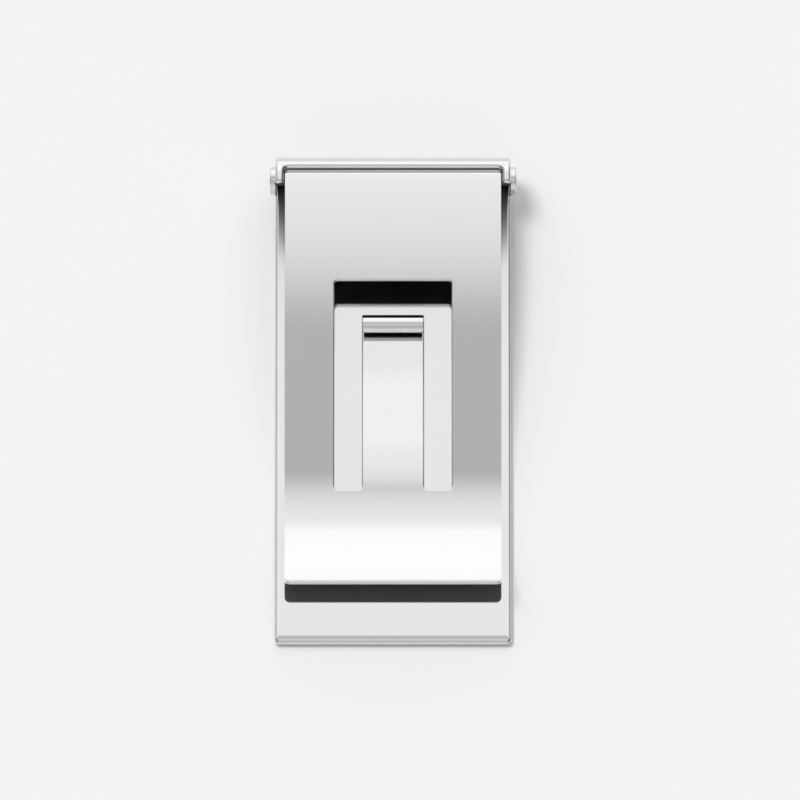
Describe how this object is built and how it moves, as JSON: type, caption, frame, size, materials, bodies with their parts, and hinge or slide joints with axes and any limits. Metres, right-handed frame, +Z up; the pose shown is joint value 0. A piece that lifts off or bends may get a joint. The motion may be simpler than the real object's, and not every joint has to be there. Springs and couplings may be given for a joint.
{
  "type": "hinged money clip",
  "caption": "Polished steel money clip: a flat plate rolled into a hinge channel, and a sprung leaf with a window and a curled grip tongue.",
  "frame": {"origin": "centre of the bounding box's bottom, on the plate's flat outer face, which the clip rests on", "axes": "+X across the clip, +Y along the clip from the free end towards the hinge, +Z up from the plate to the leaf"},
  "size_m": [0.0262, 0.0546, 0.0061],
  "materials": {
    "plate_steel": "mirror-polished stainless steel",
    "leaf_steel": "mirror-polished stainless steel",
    "tongue_steel": "mirror-polished stainless steel",
    "bush_steel": "polished turned steel",
    "pin_steel": "ground steel",
    "spring_steel": "drawn spring wire"
  },
  "bodies": {
    "plate": {"base_plate": "plate_steel", "hinge_bush_left": "bush_steel", "hinge_bush_right": "bush_steel", "hinge_pin": "pin_steel"},
    "leaf": {"clip_leaf": "leaf_steel", "torsion_spring": "spring_steel"},
    "tongue": {"spring_tongue": "tongue_steel"}
  },
  "joints": [
    {"name": "leaf_hinge", "type": "hinge", "parent": "plate", "child": "leaf", "pos_m": [0, 0.02485, 0.00364], "axis": [-1, 0, 0], "range_deg": [0, 36], "stiffness_Nm_per_rad": 0.004, "springref_deg": -143.24},
    {"name": "tongue_flex", "type": "hinge", "parent": "leaf", "child": "tongue", "pos_m": [0, -0.00999, 0.00157], "axis": [1, 0, 0], "range_deg": [0, 6], "stiffness_Nm_per_rad": 0.05, "springref_deg": -5.73}
  ]
}
